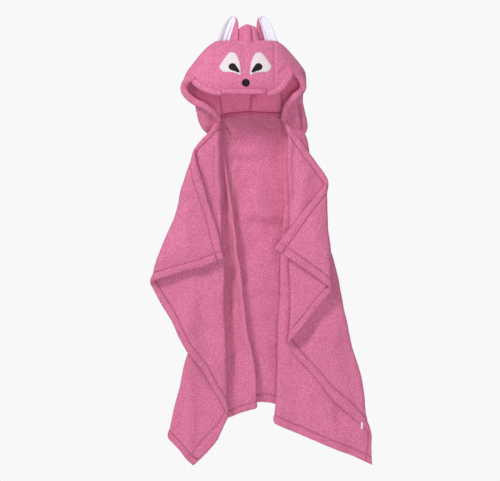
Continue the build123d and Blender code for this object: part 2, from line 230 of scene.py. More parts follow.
# each triangle with its three marks
triangles = [
    ("corner_l", "turn_l corner_l side1_l"),
    ("flap_l", "neck_l turn_l side1_l"),
    ("flap_l", "neck_l side1_l side2_l"),
    ("rear_l", "split_l side2_l side3_l"),
    ("rear_l", "split_l side3_l low_l"),
    ("rear_l", "split_l low_l bottom_l"),
    ("inner_l", "split_l bottom_l pleat_low"),
    ("inner_l", "split_l pleat_low pleat_top"),
    ("inner_l", "neck_l split_l pleat_top"),
    ("pleat", "pleat_top pleat_low pleat_in"),
    ("centre", "neck_l pleat_top neck_a"),
    ("centre", "neck_a pleat_top neck_c"),
    ("centre", "pleat_top pleat_in neck_c"),
    ("centre", "pleat_in bottom_c neck_c"),
    ("centre", "neck_c bottom_c hidden_r"),
    ("centre", "neck_c hidden_r neck_b"),
    ("centre", "neck_b hidden_r neck_r"),
    ("inner_r", "neck_r hidden_r inner_r"),
    ("middle_r", "neck_r inner_r shoulder_r"),
    ("middle_r", "shoulder_r inner_r out_r"),
    ("middle_r", "inner_r low_r out_r"),
    ("middle_r", "low_r side4_r out_r"),
    ("rear_r", "neck_r shoulder_r side2_r"),
    ("rear_r", "shoulder_r out_r side2_r"),
    ("rear_r", "out_r side3_r side2_r"),
    ("rear_r", "out_r side4_r side3_r"),
    ("flap_r", "neck_r side2_r side1_r"),
    ("flap_r", "neck_r side1_r turn_r"),
    ("corner_r", "turn_r side1_r corner_r"),
]
names = [ply for ply, _ in triangles]
print("plies:", len(ply_depth), "triangles:", len(triangles))

# %% [markdown]
# A point of the flat cloth keeps the same shares of its triangle's three corners when the towel hangs.
# Moving the points by those shares folds the cloth exactly, with no stretch beyond the marks' own.

# %% Fold the cloth
step = 5.0
flat_u = np.arange(-width / 2, width / 2 + 0.1, step)
flat_v = np.arange(0.0, length + 0.1, step)
U, V = np.meshgrid(flat_u, flat_v)
hang_x = np.zeros_like(U)
hang_z = np.zeros_like(U)
depth = np.zeros_like(U)
ply_of = np.full(U.shape, -1)
best = np.full(U.shape, -1e9)
for number, (ply, corners) in enumerate(triangles):
    flat = np.array([marks[c][0] for c in corners.split()], float)
    air = np.array([marks[c][1] for c in corners.split()], float)
    to_shares = np.linalg.inv(np.vstack([flat.T, np.ones(3)]))
    shares = to_shares @ np.vstack([U.ravel(), V.ravel(), np.ones(U.size)])
    inside = shares.min(0).reshape(U.shape)
    place = (air.T @ shares).reshape(2, *U.shape)
    better = inside > best
    best[better] = inside[better]
    hang_x[better], hang_z[better] = place[0][better], place[1][better]
    depth[better] = ply_depth[ply]
    ply_of[better] = number
print("cloth grid", U.shape, "worst fit", round(float(best.min()), 4))

# %% [markdown]
# Cloth never hangs quite flat: soft ridges and hollows run down it, and creases cross it.
# They could be sculpted. Here each is a rounded ridge along a line on one ply, a few millimetres high,
# so its place, width and height can each be changed by one number.

# %% Ridges and hollows
def along(x, z, a, b, wide, high):
    """A soft ridge from a to b, fading at its ends."""
    ax, az = a
    bx, bz = b
    d2 = (bx - ax) ** 2 + (bz - az) ** 2
    t = ((x - ax) * (bx - ax) + (z - az) * (bz - az)) / d2
    off = np.hypot(x - ax - t * (bx - ax), z - az - t * (bz - az))
    fade = smooth_step(t, -0.15, 0.2) * smooth_step(-t, -1.15, -0.8)
    return high * np.exp(-((off / wide) ** 2)) * fade


# from, to, how wide, how high; a hollow has a height below nought
ridges = {
    "flap_l": [
        ((-135, -420), (-140, -870), 26, 6.0),
        ((-90, -300), (-95, -760), 20, -4.0),
        ((-190, -560), (-190, -700), 22, -3.0),
        ((-200, -648), (-70, -608), 26, -6.0),
        ((-170, -690), (-110, -860), 18, 7.0),
        ((-120, -640), (-66, -800), 12, -6.0),
        ((-64, -240), (-64, -560), 7, 7.0),
        ((-84, -250), (-80, -560), 7, -5.0),
    ],
    "corner_l": [
        ((-130, -340), (-150, -560), 26, 5.0),
        ((-190, -480), (-215, -610), 18, -3.0),
    ],
    "rear_l": [
        ((-148, -860), (-140, -1060), 10, 7.0),
        ((-120, -860), (-90, -1000), 9, -4.0),
        ((-175, -900), (-180, -1040), 12, -3.0),
    ],
    "inner_l": [
        ((-52, -300), (24, -940), 16, 15.0),
        ((-60, -300), (-42, -940), 16, -8.0),
    ],
    "pleat": [
        ((-50, -320), (27, -945), 14, 12.0),
    ],
    "centre": [
        ((20, -300), (45, -900), 24, 6.0),
        ((84, -240), (86, -640), 7, -8.0),
        ((-50, -236), (-12, -246), 7, -6.0),
        ((-60, -262), (-20, -252), 6, 5.0),
        ((-62, -288), (-8, -270), 8, -6.0),
        ((-60, -310), (40, -306), 7, 6.0),
        ((-50, -330), (30, -328), 8, -5.0),
        ((10, -212), (66, -272), 4.5, -5.0),
        ((-12, -458), (90, -474), 7, 9.0),
        ((-10, -486), (88, -500), 8, -7.0),
        ((46, -560), (95, -522), 8, 7.0),
        ((16, -640), (84, -656), 10, 6.0),
        ((20, -672), (84, -690), 10, -4.0),
        ((28, -780), (80, -800), 10, 4.5),
    ],
    "flap_r": [
        ((96, -240), (98, -360), 7, 8.0),
        ((98, -380), (80, -540), 7, 8.0),
        ((114, -250), (112, -560), 7, -6.0),
        ((150, -330), (120, -560), 12, 6.0),
        ((170, -380), (165, -700), 16, -3.0),
    ],
    "corner_r": [
        ((170, -440), (165, -610), 18, 5.0),
        ((120, -500), (150, -600), 12, -2.5),
    ],
    "rear_r": [
        ((205, -690), (120, -800), 20, -7.0),
        ((150, -800), (240, -960), 16, 7.0),
        ((150, -560), (215, -900), 20, 6.0),
        ((205, -560), (275, -940), 16, -5.0),
        ((120, -640), (160, -840), 12, -4.0),
    ],
    "middle_r": [
        ((225, -960), (255, -1080), 14, -7.0),
        ((100, -830), (190, -940), 12, -7.0),
        ((150, -880), (250, -1050), 18, 8.0),
        ((70, -760), (80, -980), 10, 6.0),
        ((120, -880), (125, -1010), 10, -4.0),
    ],
}
for ply, lines in ridges.items():
    on_ply = np.isin(ply_of, [i for i, name in enumerate(names) if name == ply])
    for a, b, wide, high in lines:
        depth += np.where(on_ply, along(hang_x, hang_z, a, b, wide, high), 0.0)
print("ridges and hollows:", sum(len(lines) for lines in ridges.values()))

# %% [markdown]
# At the neck all the plies are sewn into one seam, so their depths draw together there.

# %% Gather the neck
neck_x, neck_z = 9.0, -222.0
seam_depth, squeeze = 11.0, 0.75
reach = np.hypot((hang_x - neck_x) * 0.35, hang_z - neck_z)
at_neck = 1.0 - smooth_step(reach, 20.0, 80.0)
gathered = seam_depth + squeeze * (depth - ply_depth["centre"])
depth = depth * (1.0 - at_neck) + at_neck * gathered
print("points drawn in at the neck:", int((at_neck > 0.5).sum()))

# %% [markdown]
# Listed ridges alone look too tidy. Smooth random lumps of several lengths make the cloth uneven,
# as washing does. Each has its own fixed seed, so the towel is the same on every run.

# %% Uneven cloth
def soft_noise(shape, wave, seed):
    """Smooth random lumps about this many millimetres long, between about -1 and 1."""
    rng = np.random.default_rng(seed)
    fy = np.fft.fftfreq(shape[0], step)[:, None]
    fx = np.fft.fftfreq(shape[1], step)[None, :]
    spectrum = np.fft.fft2(rng.normal(size=shape)) * np.exp(-((fx**2 + fy**2) * wave**2) * 2.2)
    waves = np.fft.ifft2(spectrum).real
    return waves / (2.0 * waves.std())


def lumps(*sizes):
    """Several lumps added up, each given as its height, its length and its seed."""
    return sum(high * soft_noise(U.shape, wave, seed) for high, wave, seed in sizes)


depth += lumps((5.0, 75.0, 1), (2.6, 32.0, 2), (0.9, 15.0, 7))
hang_x += lumps((4.0, 90.0, 3), (1.4, 35.0, 4))
hang_z += lumps((3.0, 90.0, 5), (1.4, 35.0, 6))
print("depth runs from", round(float(depth.min()), 1), "to", round(float(depth.max()), 1))

# %% [markdown]
# A folded towel has rounded folds, not creases. Moving each point towards the middle of its neighbours,
# a few times over, rounds them the way the weight and thickness of terry do.

# %% Round the folds
rounds = 8


def relax(a, times):
    """Moves each point towards the middle of its neighbours; an edge only along itself."""
    for _ in range(times):
        mid = a.copy()
        mid[1:-1, 1:-1] = (a[:-2, 1:-1] + a[2:, 1:-1] + a[1:-1, :-2] + a[1:-1, 2:]) / 4.0
        mid[0, 1:-1] = (a[0, :-2] + a[0, 2:]) / 2.0
        mid[-1, 1:-1] = (a[-1, :-2] + a[-1, 2:]) / 2.0
        mid[1:-1, 0] = (a[:-2, 0] + a[2:, 0]) / 2.0
        mid[1:-1, -1] = (a[:-2, -1] + a[2:, -1]) / 2.0
        a = a * 0.45 + mid * 0.55
    return a


depth = relax(depth, rounds)
print("steepest step between neighbours:", round(float(np.abs(np.diff(depth)).max()), 1))

# %% [markdown]
# Each front flap has to open like a leaf: cloth in front of its fold turns, and cloth behind it stays.
# A flap's points are therefore kept well in front of its fold, and the back's points well behind.
# Close to the fold they are free to curve round.

# %% Part the flaps from the back
def fold_side(a, b):
    """How far each point of the flat cloth lies past the fold from a to b."""
    (au, av), (bu, bv) = marks[a][0], marks[b][0]
    size = math.hypot(bu - au, bv - av)
    return ((U - au) * (bv - av) - (V - av) * (bu - au)) / size


fold_l, fold_r = fold_side("neck_l", "side2_l"), fold_side("neck_r", "side2_r")
leaf_l = (U < 0) & (fold_l < 0)
leaf_r = (U > 0) & (fold_r > 0)
curve_near, curve_far, slack = 8.0, 24.0, 24.0
for on_side, leaf, past, front_at, back_at in (
    (U < 0, leaf_l, fold_l, 45.0, 28.0),
    (U > 0, leaf_r, fold_r, 57.8, 41.0),
):
    free = slack * (1.0 - smooth_step(np.abs(past), curve_near, curve_far))
    depth = np.where(on_side & leaf, np.maximum(depth, front_at - free), depth)
    depth = np.where(on_side & ~leaf, np.minimum(depth, back_at + free), depth)
print("points on the two flaps:", int(leaf_l.sum()), int(leaf_r.sum()))

# %% [markdown]
# The three sides of the shape come together, with the smallest unevenness added last so that it stays crisp.

# %% The cloth as it hangs
cloth = np.stack([relax(hang_x, rounds), -depth, relax(hang_z, rounds)], axis=2)
small_wave, small_seed = 7.0, 10
for axis, high in enumerate((0.5, 0.7, 0.5)):
    cloth[..., axis] += high * soft_noise(U.shape, small_wave, small_seed + axis)
print("towel spans", cloth.reshape(-1, 3).min(0).round(), cloth.reshape(-1, 3).max(0).round())

# %% [markdown]
# Terry is a matt cloth that blooms a little where light grazes it, so every finish starts from a rough
# shader with a soft sheen. Colours are given as they look, from 0 to 255, and turned into amounts of light.

# %% Colours and shaders
def colour(r, g, b):
    def light(c):
        return c / 255.0 / 12.92 if c < 11 else ((c / 255.0 + 0.055) / 1.055) ** 2.4

    return (light(r), light(g), light(b), 1.0)


def new_material(name, look, rough=0.95, sheen=0.3):
    mat = bpy.data.materials.new(name)
    mat.use_nodes = True
    tree = mat.node_tree
    shader = tree.nodes["Principled BSDF"]
    shader.inputs["Base Color"].default_value = look
    shader.inputs["Roughness"].default_value = rough
    shader.inputs["Sheen Weight"].default_value = sheen
    shader.inputs["Sheen Roughness"].default_value = 0.4
    shader.inputs["Specular IOR Level"].default_value = 0.15
    return mat, tree, shader


print("mid pink as light:", [round(c, 3) for c in colour(219, 125, 162)])

# %% [markdown]
# A pattern in a finish is a chain of small nodes. Short helpers add one node each and hand back its output,
# so that a finish can be read from top to bottom.

# %% Helpers for patterns
def maths(tree, operation, *values):
    """A Math node. Each value is a number or another node's output."""
    node = tree.nodes.new("ShaderNodeMath")
    node.operation = operation
    for socket, value in zip(node.inputs, values):
        if isinstance(value, float):
            socket.default_value = value
        else:
            tree.links.new(value, socket)
    return node.outputs[0]


def rise(tree, value, start, end, top=1.0, way="LINEAR"):
    """A Map Range node that goes from 0 at start to top at end."""
    node = tree.nodes.new("ShaderNodeMapRange")
    node.interpolation_type = way
    node.inputs["From Min"].default_value = start
    node.inputs["From Max"].default_value = end
    node.inputs["To Max"].default_value = top
    tree.links.new(value, node.inputs["Value"])
    return node.outputs["Result"]


def texture(tree, kind, **values):
    """A texture node that is laid out in the piece's own space, so it moves with the piece."""
    node = tree.nodes.new(kind)
    for socket, value in values.items():
        node.inputs[socket].default_value = value
    place = tree.nodes.new("ShaderNodeTexCoord")
    tree.links.new(place.outputs["Object"], node.inputs["Vector"])
    return node


def two_colours(tree, value, first, second, start=0.0, end=1.0):
    """A Color Ramp from the first colour to the second."""
    node = tree.nodes.new("ShaderNodeValToRGB")
    low, high = node.color_ramp.elements
    low.position, low.color = start, first
    high.position, high.color = end, second
    tree.links.new(value, node.inputs["Fac"])
    return node.outputs["Color"]


def relief(tree, shader, height, strength, distance, invert=False):
    """A Bump node, which tilts the light as fine relief would."""
    node = tree.nodes.new("ShaderNodeBump")
    node.invert = invert
    node.inputs["Strength"].default_value = strength
    node.inputs["Distance"].default_value = distance
    tree.links.new(height, node.inputs["Height"])
    tree.links.new(node.outputs["Normal"], shader.inputs["Normal"])


print("pattern helpers:", [h.__name__ for h in (maths, rise, texture, two_colours, relief)])

# %% [markdown]
# The hems are sewn with one line of thread. It follows the edge of the flat cloth, so it is drawn from the
# flat layout: a narrow line at a fixed distance across or down. No line crosses the open neck.

# %% Lines of thread
hem_lines = (("across", 0.470), ("down", 0.020), ("down", 0.720))
# The last number sets how far a line darkens the pile, as painted shade of its groove, and how far the line
# presses in.
thread_edge, thread_core, stitch_shade_and_depth = 0.0024, 0.0006, 0.28


def stitch_lines(tree, places):
    flat = tree.nodes.new("ShaderNodeUVMap")
    flat.uv_map = "UVMap"
    parts = tree.nodes.new("ShaderNodeSeparateXYZ")
    tree.links.new(flat.outputs["UV"], parts.inputs["Vector"])
    across, down = maths(tree, "ABSOLUTE", parts.outputs["X"]), parts.outputs["Y"]
    lines = None
    for way, where in places:
        off = maths(tree, "SUBTRACT", across if way == "across" else down, where)
        off = maths(tree, "ABSOLUTE", off)
        line = rise(tree, off, thread_edge, thread_core, stitch_shade_and_depth, "SMOOTHSTEP")
        lines = line if lines is None else maths(tree, "MAXIMUM", lines, line)
    beside_neck = rise(tree, across, 0.08, 0.10)
    below_neck = rise(tree, down, 0.05, 0.06)
    return maths(tree, "MULTIPLY", lines, maths(tree, "MAXIMUM", beside_neck, below_neck))


print("lines of thread:", len(hem_lines))

# %% [markdown]
# Terry is a ground weave covered in small loops. Modelling each loop would take millions of faces,
# so a Voronoi texture gives the loops and a noise gives their clumps. The same mixture drives the colour,
# darker between the loops, and the relief. A line of thread presses the pile in, and the shade of its groove
# is painted darker.

# %% Terry
def terry(name, light, dark, loop=1.6, lift=0.8, sheen=0.12, stitched=()):
    mat, tree, shader = new_material(name, light, 1.0, sheen)
    loops = texture(tree, "ShaderNodeTexVoronoi", Scale=1000.0 / loop)
    clumps = texture(tree, "ShaderNodeTexNoise", Scale=300.0, Detail=4.0, Roughness=0.7)
    mixed = tree.nodes.new("ShaderNodeMix")
    mixed.data_type = "FLOAT"
    mixed.inputs["Factor"].default_value = 0.6
    tree.links.new(loops.outputs["Distance"], mixed.inputs["A"])
    tree.links.new(clumps.outputs["Fac"], mixed.inputs["B"])
    height = mixed.outputs["Result"]
    pile = two_colours(tree, height, light, dark, 0.37, 0.56)
    if stitched:
        lines = stitch_lines(tree, stitched)
        # painted shade: the pile is darkened and reddened along each line of thread, as the shade in its
        # pressed-in groove
        stitch_groove_shade = tree.nodes.new("ShaderNodeMix")
        stitch_groove_shade.data_type = "RGBA"
        red, green, blue, _ = dark
        stitch_groove_shade.inputs["B"].default_value = (red * 0.62, green * 0.45, blue * 0.5, 1.0)
        tree.links.new(lines, stitch_groove_shade.inputs["Factor"])
        tree.links.new(pile, stitch_groove_shade.inputs["A"])
        pile = stitch_groove_shade.outputs["Result"]
        height = maths(tree, "MULTIPLY_ADD", lines, 2.2, height)
    tree.links.new(pile, shader.inputs["Base Color"])
    relief(tree, shader, height, lift, 0.0030, invert=True)
    return mat


pink_light, pink_dark = colour(234, 148, 181), colour(204, 102, 142)
pink_terry = terry("pink_terry", pink_light, pink_dark)
pink_towel = terry("pink_towel_terry", pink_light, pink_dark, stitched=hem_lines)
hem_light, hem_dark = colour(232, 146, 178), colour(202, 100, 140)
pink_hem = terry("pink_hem_terry", hem_light, hem_dark, loop=1.5, stitched=hem_lines)
print("terry:", [m.name for m in (pink_terry, pink_towel, pink_hem)])

# %% [markdown]
# Inside the hood the real cloth is the same pink. It is mixed lighter here, since so little light gets in
# that it would look too dark. The white patches, the ears' lining and the felt are pile too, only shorter.

# %% Lighter pile and felt
pink_inside = terry("pink_terry_inside", colour(255, 164, 202), colour(246, 120, 168))
white_pile = terry("white_pile", colour(240, 228, 232), colour(216, 202, 208), loop=1.2, lift=0.5)
white_lining = terry("white_lining", colour(240, 238, 250), colour(222, 220, 238), loop=0.9, lift=0.25)
black_felt = terry("black_felt", colour(50, 44, 48), colour(28, 24, 28), loop=0.8, lift=0.4, sheen=0.1)
print("pile finishes:", [m.name for m in (pink_inside, white_pile, white_lining, black_felt)])

# %% [markdown]
# The loop, the neck binding and the label are narrow woven tape: fine ridges run across it,
# one for each weft thread. A wave texture gives the ridges in colour and relief.

# %% Woven tape
def woven_tape(name, light, dark, rib=0.8):
    mat, tree, shader = new_material(name, light, 0.8, 0.2)
    ribs = texture(tree, "ShaderNodeTexWave", Scale=314.0 / rib, Distortion=1.5)
    ribs.bands_direction = "DIAGONAL"
    weave = two_colours(tree, ribs.outputs["Fac"], dark, light)
    tree.links.new(weave, shader.inputs["Base Color"])
    relief(tree, shader, ribs.outputs["Fac"], 0.5, 0.0003)
    return mat


pink_tape = woven_tape("pink_tape", colour(222, 112, 156), colour(178, 70, 116))
label_tape = woven_tape("label_tape", colour(244, 244, 246), colour(216, 216, 222), rib=0.5)
print("tapes:", pink_tape.name, label_tape.name)

# %% [markdown]
# The towel is thinner at its edges, where the hems cover it. The hems are thicker, since they are cloth
# turned over twice. Both come from how far a point lies from the nearest edge. The open neck isn't hemmed.

# %% How thick the cloth is
thickness = 4.2
to_edge = np.minimum(np.minimum(width / 2 - np.abs(U), length - V), V)
to_edge = np.where((np.abs(U) < 85.0) & (V < 40.0), 40.0, to_edge)
cloth_thick = np.interp(to_edge, [0, 15, 20, 25, 35], [2.0, 2.0, 2.4, 3.6, thickness])
hem_thick = np.interp(to_edge, [0, 5, 10, 15, 20], [5.6, 8.0, 8.4, 7.2, 3.4])
print("thickest cloth and hem:", float(cloth_thick.max()), float(hem_thick.max()))

# %% [markdown]
# The towel is made in two pieces that meet behind the pleat, where no one sees the join.
# A single piece could bend at only one joint, and the towel has a flap on each side.
# The flaps are the plies that hang further forward than the back.

# %% The towel's two halves
split = -75.0
flat_uv = np.stack([U, V], axis=2) * MM


def towel_piece(name, u0, u1, v0, v1, thick, material):
    i0, i1 = (int(round((u + width / 2) / step)) for u in (u0, u1))
    j0, j1 = (int(round(v / step)) for v in (v0, v1))
    part = np.s_[j0 : j1 + 1, i0 : i1 + 1]
    obj = sheet_object(name, cloth[part] * MM, thick[part] * MM, flat_uv[part])
    return dress(obj, material)


left_end, right_end = -width / 2, width / 2
left_cloth = towel_piece("towel_left_cloth", left_end, split, 0, length, cloth_thick, pink_towel)
right_cloth = towel_piece("towel_right_cloth", split, right_end, 0, length, cloth_thick, pink_towel)
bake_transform(left_cloth)
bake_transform(right_cloth)
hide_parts("left_flap", "towel_back")
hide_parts("right_flap")

# %% [markdown]
# The hems are the towel's edges turned over and stitched. They are pieces of their own, cut from the same
# folded shape, so that they follow every fold of the cloth.

# %% Hems
# node, across from and to, down from and to, side
hems = [
    ("left_flap_top_hem", -490, -85, 0, 20, "left"),
    ("left_flap_side_hem", -490, -470, 20, 585, "left"),
    ("back_left_side_hem", -490, -470, 585, 720, "left"),
    ("right_flap_top_hem", 85, 490, 0, 20, "right"),
    ("right_flap_side_hem", 470, 490, 20, 355, "right"),
    ("back_right_side_hem", 470, 490, 355, 720, "right"),
]
sewn_on = {"left": [], "right": []}
for node, u0, u1, v0, v1, side in hems:
    band = towel_piece(node + "_band", u0, u1, v0, v1, hem_thick, pink_hem)
    if side == "left":
        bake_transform(band)
    else:
        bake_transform(band)
    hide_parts(node)
    sewn_on[side].append(band)
print("hems:", len(hems))

# %% [markdown]
# The bottom hem hangs with the back on both sides, so its two lengths ride on the back without a bend.
# The hems sewn to each half are then listed with it.

# %% The bottom hem, and the hems of each half
low_left = towel_piece("bottom_hem_left_band", -490, -75, 720, 740, hem_thick, pink_hem)
low_right = towel_piece("bottom_hem_right_band", -75, 490, 720, 740, hem_thick, pink_hem)
for band in (low_left, low_right):
    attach(band, "back")
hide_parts("bottom_hem")
sewn_on["left"].append(low_left)
sewn_on["right"].append(low_right)
print("pieces sewn to the halves:", len(sewn_on["left"]), len(sewn_on["right"]))

# %% [markdown]
# The hood is a bell of terry, folded flat along its top and hollow inside.
# It is widest at the face and draws in to the neck. It could be modelled from a ball by hand.
# Here a table gives its width and depth at each height, and each level is a rounded, flattened ring.

# %% The hood's shape
# height, left edge, right edge, middle front to back, half depth
hood_rows = np.array(
    [
        (-33, -72, 68, -44, 8),
        (-39, -88, 83, -44, 17),
        (-48, -98, 92, -45, 25),
        (-60, -110, 103, -48, 33),
        (-85, -130, 124, -52, 43),
        (-110, -149, 142, -55, 49),
        (-138, -160, 145, -58, 53),
        (-160, -158, 137, -57, 52),
        (-185, -131, 135, -50, 44),
        (-207, -126, 141, -40, 34),
        (-230, -122, 147, -32, 26),
        (-250, -112, 150, -28, 18),
        (-266, -92, 140, -26, 9),
    ],
    float,
)
hood_top, hood_foot, blur = -33, -266, 17
levels_down = np.linspace(hood_top, hood_foot, 234)
smooth_rows = []
for column in range(1, 5):
    line = np.interp(-levels_down, -hood_rows[:, 0], hood_rows[:, column])
    padded = np.concatenate([[line[0]] * (blur // 2), line, [line[-1]] * (blur // 2)])
    smooth_rows.append(np.convolve(padded, np.ones(blur) / blur, "valid"))
print("widest hood:", round(float((smooth_rows[1] - smooth_rows[0]).max()), 1), "mm")

# %% [markdown]
# The face, the hems and the seams all have to lie on the hood, so one helper finds the point of its wall
# at any place across and up. The others move along that wall.

# %% Points on the hood
def hood_section(z):
    """The hood's left edge, right edge, middle and half depth at these heights."""
    return [np.interp(-np.asarray(z), -levels_down, line) for line in smooth_rows]


def front_share(z):
    """Below the mouth's corners the front of the hood lies back, behind its rolled edge."""
    return 0.5 + 0.5 * smooth_step(np.asarray(z, float), -200.0, -165.0)


def roundness(s):
    """How far the wall still stands out at this share of the half width."""
    return (1.0 - np.abs(s) ** 2.2).clip(0) ** 0.55


def hood_point(x, z, front=True, out=0.0):
    """The point of the hood's front or back wall at this place across and up."""
    left, right, deep, half = hood_section(z)
    middle, wide = (left + right) / 2.0, (right - left) / 2.0
    s = np.clip((x - middle) / wide, -0.995, 0.995)
    if front:
        half = half * front_share(z)
    sign = -1.0 if front else 1.0
    return np.stack([x + 0 * s, deep + sign * (half * roundness(s) + out), z + 0 * x], axis=-1)


def on_the_bell(points):
    """Draws in the points that bulge forward, so that a face laid out flat looks right from three metres."""
    eye_at, eye_height, eye_far, flat_at = 6.25, -531.0, 2996.0, -45.0
    flat = np.array(points, float)
    x, z = flat[:, 0].copy(), flat[:, 1].copy()
    for _ in range(3):
        y = hood_point(x, np.clip(z, -250.0, -34.0))[:, 1]
        nearer = (y + eye_far) / (flat_at + eye_far)
        x = eye_at + (flat[:, 0] - eye_at) * nearer
        z = eye_height + (flat[:, 1] - eye_height) * nearer
    return np.stack([x, z], axis=1)


brow = hood_point(np.array([-5.0]), np.array([-100.0]))[0]
print("the brow stands", round(float(-brow[1]), 1), "mm in front of the wall")

# %% [markdown]
# Outlines such as the mouth and the eyes are smooth closed lines through a few points.
# A Bezier curve could do this, but a line worked out in code can also be asked what lies inside it.

# %% Smooth outlines
def closed_curve(points, count=200):
    """A smooth closed line through these points."""
    p = np.array(points, float)
    n = len(p)
    out = []
    for i in range(n):
        a, b, c, d = p[i - 1], p[i], p[(i + 1) % n], p[(i + 2) % n]
        for t in np.linspace(0, 1, 24, endpoint=False):
            bend = 2 * b + (c - a) * t + (2 * a - 5 * b + 4 * c - d) * t**2
            out.append(0.5 * (bend + (3 * b - a - 3 * c + d) * t**3))
    out = np.array(out)
    gaps = np.linalg.norm(np.roll(out, -1, 0) - out, axis=1)
    total = np.concatenate([[0], np.cumsum(gaps)])
    want = np.linspace(0, total[-1], count, endpoint=False)
    ring = np.vstack([out, out[:1]])
    return np.stack([np.interp(want, total, ring[:, k]) for k in range(2)], axis=1)


def inside_curve(x, z, ring):
    """Counts how often a level line from each point crosses the ring: an odd count is inside."""
    a, b = ring, np.roll(ring, -1, 0)
    hit = np.zeros(np.shape(x), bool)
    for (x0, z0), (x1, z1) in zip(a, b):
        if z0 == z1:
            continue
        cross = ((z0 > z) != (z1 > z)) & (x < (x1 - x0) * (z - z0) / (z1 - z0) + x0)
        hit ^= cross
    return hit


square = closed_curve([(-1, -1), (1, -1), (1, 1), (-1, 1)], 40)
print("is the middle inside a rounded square:", bool(inside_curve(np.zeros(1), np.zeros(1), square)[0]))

# %% [markdown]
# The mouth is an opening in the hood's front: nearly straight under the nose, and curling up round a lobe at
# each side, then running down to the neck. Its outline is laid out flat and then drawn on to the bell.

# %% The outline of the mouth
mouth = closed_curve(
    on_the_bell([
        (-147, -134), (-135, -131), (-122, -135), (-110, -143), (-98, -150.5), (-86, -156.5),
        (-71, -160.5), (-50, -162.5), (-22, -163.3), (5, -163.5), (30, -163.4), (50, -162),
        (65, -158), (77, -150), (86, -139), (93, -127.5), (101, -119.5), (112, -116.5),
        (122, -120.5), (130, -130), (134, -145), (128, -158), (114, -172), (102, -185),
        (94, -198), (91, -212), (88, -232), (84, -290), (-64, -290), (-68, -232),
        (-78, -216), (-92, -203), (-106, -194), (-125, -185), (-141, -175), (-151, -163),
        (-154.5, -149),
    ]),
    400,
)
print("the mouth is", round(float(np.ptp(mouth[:, 0])), 1), "mm wide")

# %% [markdown]
# The cloth of the hood is a grid wrapped round the bell. Below the mouth the back of the hood lies close
# behind the towel. A grid has stepped holes, so its points nearest the mouth are first moved on to the edge.

# %% The hood's cloth
turns_round, rows_down = 256, 116
angle = np.linspace(0, 2 * np.pi, turns_round, endpoint=False)
A, Z = np.meshgrid(angle, np.linspace(hood_top, hood_foot, rows_down))
left, right, deep, half = hood_section(Z)
middle, wide = (left + right) / 2.0, (right - left) / 2.0
front = np.cos(A) > 0
X = middle + wide * np.sin(A)
share = np.where(front, front_share(Z), 1.0)
Y = deep - np.sign(np.cos(A)) * half * roundness(np.sin(A)) * share
skirt_depth = -2.0
at_skirt = np.where(front, 0.0, 1.0) * (1.0 - smooth_step(Z, -236.0, -204.0))
Y += at_skirt * (skirt_depth - Y)
distance = np.full(X.shape, 1e9)
nearest = np.zeros(X.shape + (2,))
for point in mouth:
    off = np.hypot(X - point[0], Z - point[1])
    closer = off < distance
    distance[closer] = off[closer]
    nearest[closer] = point
snap = front & (distance < 1.6)
bell = np.stack([np.where(snap, nearest[..., 0], X), Y, np.where(snap, nearest[..., 1], Z)], axis=2)
print("points moved on to the mouth's edge:", int(snap.sum()))

# %% [markdown]
# The hood sags and its seams pull, which shows as narrow dents and low ridges.
# They are made as on the towel: each is a rounded ridge along a line, in front or behind.

# %% Dents in the hood
# from, to, how wide, how high, on the front or not
dents = [
    ((-77, -40), (-79, -150), 3.2, -2.6, True),
    ((66, -42), (68, -150), 3.2, -2.6, True),
    ((-120, -78), (-150, -122), 9, -3.0, True),
    ((-112, -116), (-84, -142), 3.6, -2.6, True),
    ((-101, -104), (-80, -124), 3.2, -2.0, True),
    ((-116, -124), (-100, -140), 4.0, 1.6, True),
    ((88, -60), (126, -98), 9, -2.4, True),
    ((74, -128), (98, -100), 5, -2.6, True),
    ((-30, -37), (-4, -52), 6, -3.4, True),
    ((22, -38), (2, -54), 6, -3.4, True),
    ((-6, -50), (-6, -118), 7, -1.8, True),
    ((-96, -60), (-60, -52), 10, 2.0, True),
    ((18, -165), (15, -200), 4.0, -9.0, False),
    ((9, -165), (7, -196), 3.0, 4.0, False),
    ((-104, -140), (-76, -196), 5, -5.0, False),
    ((-122, -140), (-88, -196), 5, 4.0, False),
    ((-40, -165), (-30, -200), 8, 3.0, False),
    ((46, -165), (52, -200), 8, 3.0, False),
    ((118, -178), (132, -250), 8, 9.0, True),
    ((134, -165), (146, -250), 7, 7.0, True),
    ((126, -185), (138, -250), 4, -8.0, True),
    ((-118, -200), (-100, -250), 8, 7.0, True),
    ((-98, -196), (-86, -240), 4, -5.0, True),
]
for a, b, wide_mm, high, is_front in dents:
    side, sign = (front, -1.0) if is_front else (~front, 1.0)
    dent = along(bell[..., 0], bell[..., 2], a, b, wide_mm, high)
    bell[..., 1] += np.where(side, sign * dent, 0.0)
print("dents:", len(dents))

# %% [markdown]
# The cells inside the mouth's outline are left out, and the rest becomes cloth with a real thickness.
# The faces that look inward get the lighter pink.

# %% Cut the mouth and make the cloth
mid = (bell[:-1] + bell[1:] + np.roll(bell, -1, 1)[:-1] + np.roll(bell, -1, 1)[1:]) / 4.0
mid_front = (front & np.roll(front, -1, 1))[:-1]
open_here = inside_curve(mid[..., 0], mid[..., 2], mouth) & mid_front
hood_uv = np.stack([A * 110.0, Z], axis=2) * MM
hood_cloth = sheet_object("hood_cloth", bell * MM, 4.6 * MM, hood_uv, wrap=True, keep=~open_here)
hood_cloth.data.materials.append(pink_terry)
hood_cloth.data.materials.append(pink_inside)
for polygon in hood_cloth.data.polygons:
    at, way = polygon.center / MM, polygon.normal
    deep_in = abs(at.x) < 128.0 and -215.0 < at.z < -45.0
    if deep_in and ((at.y > -50.0 and way.y < -0.25) or (at.y < -60.0 and way.y > 0.25)):
        polygon.material_index = 1
round_off(hood_cloth)
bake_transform(hood_cloth)
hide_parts("hood_face", "hood_side_left", "hood_side_right", "hood_back")

